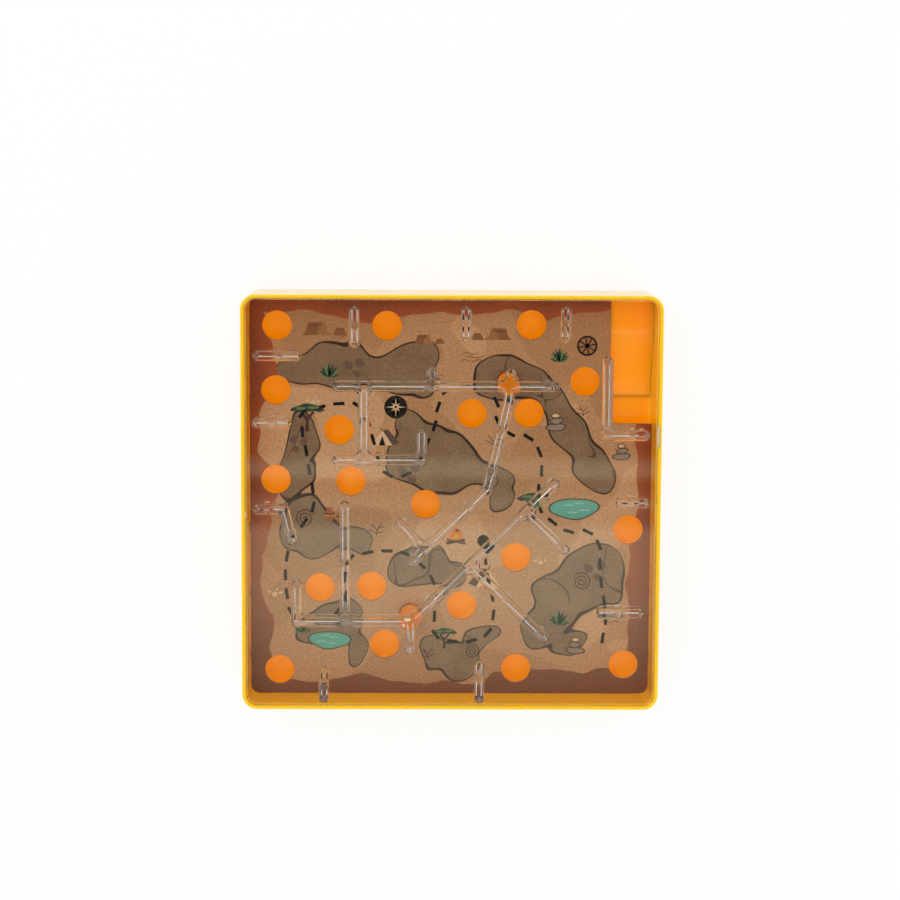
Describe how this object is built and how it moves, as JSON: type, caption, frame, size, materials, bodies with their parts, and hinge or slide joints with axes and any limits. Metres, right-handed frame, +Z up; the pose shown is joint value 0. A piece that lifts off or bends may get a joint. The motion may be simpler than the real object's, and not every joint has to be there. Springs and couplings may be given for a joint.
{
  "type": "tilting maze puzzle",
  "caption": "Square hand-held tilting ball maze: coloured plastic tray, printed board with trap holes, clear cover with hanging maze walls, and a steel ball inside.",
  "frame": {"origin": "middle of the tray's underside", "axes": "+Z up through the board and the clear cover, +Y towards the side with the ramp's end, +X towards the side that the ramp lies along"},
  "size_m": [0.15, 0.15, 0.03],
  "materials": {
    "tray": "glossy moulded yellow-orange polystyrene",
    "board": "satin printed paper on board",
    "cover": "clear moulded polystyrene",
    "ball": "polished steel"
  },
  "bodies": {
    "case": {"tray": "tray", "return_ramp": "tray", "board_rests": "tray", "board_post_upper": "tray", "board_post_lower": "tray", "playfield_board": "board", "cover_plate": "cover", "wall_bridge": "cover", "wall_fork": "cover", "wall_corner": "cover", "wall_top_left": "cover", "wall_top_middle": "cover", "wall_top_right": "cover", "wall_left_upper": "cover", "wall_left_middle": "cover", "wall_left_hook": "cover", "wall_right_middle": "cover", "wall_right_lower": "cover", "wall_bottom_left": "cover", "wall_bottom_right": "cover"},
    "ball": {"steel_ball": "ball"}
  },
  "joints": [
    {"name": "ball_roll", "type": "slide", "parent": "case", "child": "ball", "axis": [0, 1, 0], "range_m": [-0.0335, 0.072]}
  ]
}
